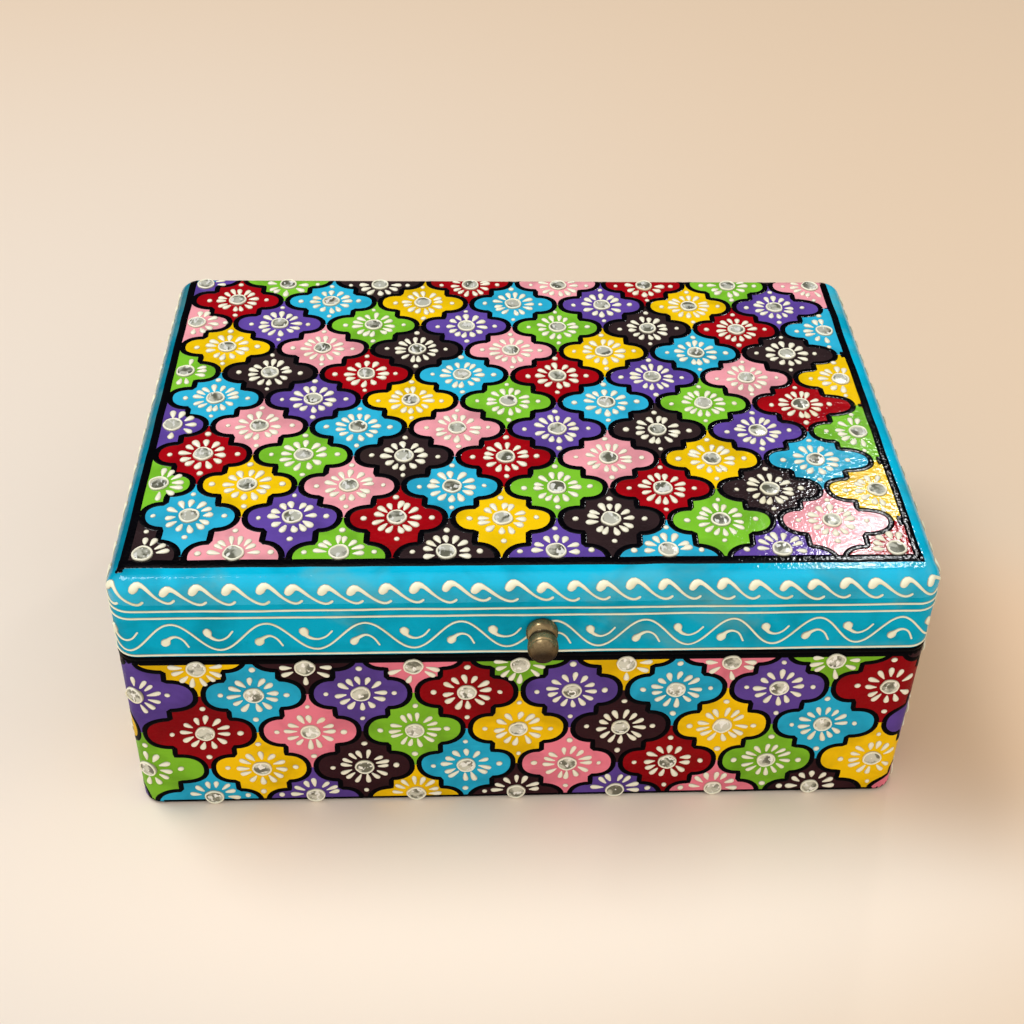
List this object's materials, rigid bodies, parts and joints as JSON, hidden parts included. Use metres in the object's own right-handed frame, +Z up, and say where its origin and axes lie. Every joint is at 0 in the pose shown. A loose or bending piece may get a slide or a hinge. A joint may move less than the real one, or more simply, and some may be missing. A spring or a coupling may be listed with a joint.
{
  "type": "keepsake box",
  "caption": "Hinged keepsake box of painted wood: butted walls, let-in floor, felt lining, brass butt hinges, a turned brass knob and small round mirrors.",
  "frame": {"origin": "middle of the underside of the base", "axes": "+X along the length to the right as seen from the front, +Y to the back where the hinges are, +Z up"},
  "size_m": [0.2566, 0.1841, 0.1013],
  "materials": {
    "lid_paint": "varnished turquoise paint on wood",
    "base_paint": "varnished dark ground paint on wood",
    "floor_wood": "plain board",
    "felt": "short felt",
    "knob_brass": "antique turned brass",
    "hinge_brass": "pressed brass",
    "steel": "plain wire and screws",
    "mirror_glass": "silvered glass chips",
    "raised_paint": "cream raised paint",
    "outline_paint": "black outline paint",
    "tile_paint": "varnished tile colours"
  },
  "bodies": {
    "base": {"base_front_wall": "base_paint", "base_back_wall": "base_paint", "base_left_wall": "base_paint", "base_right_wall": "base_paint", "base_floor": "floor_wood", "base_wall_brads": "steel", "floor_brads": "steel", "hinge_base_screws": "hinge_brass", "left_hinge_base_leaf": "hinge_brass", "left_hinge_pin": "steel", "right_hinge_base_leaf": "hinge_brass", "right_hinge_pin": "steel", "floor_lining": "felt", "front_wall_lining": "felt", "back_wall_lining": "felt", "left_wall_lining": "felt", "right_wall_lining": "felt", "front_mirrors": "mirror_glass", "back_mirrors": "mirror_glass", "left_mirrors": "mirror_glass", "right_mirrors": "mirror_glass"},
    "lid": {"lid_top_board": "lid_paint", "lid_front_rail": "lid_paint", "lid_back_rail": "lid_paint", "lid_left_rail": "lid_paint", "lid_right_rail": "lid_paint", "lid_rail_brads": "steel", "lid_board_brads": "steel", "hinge_lid_screws": "hinge_brass", "left_hinge_lid_leaf": "hinge_brass", "right_hinge_lid_leaf": "hinge_brass", "lid_lining": "felt", "knob": "knob_brass", "knob_screw": "steel", "top_mirrors": "mirror_glass"}
  },
  "joints": [
    {"name": "lid_hinge", "type": "hinge", "parent": "base", "child": "lid", "pos_m": [0, 0.0822, 0.0685], "axis": [-1, 0, 0], "range_deg": [0, 98]}
  ]
}
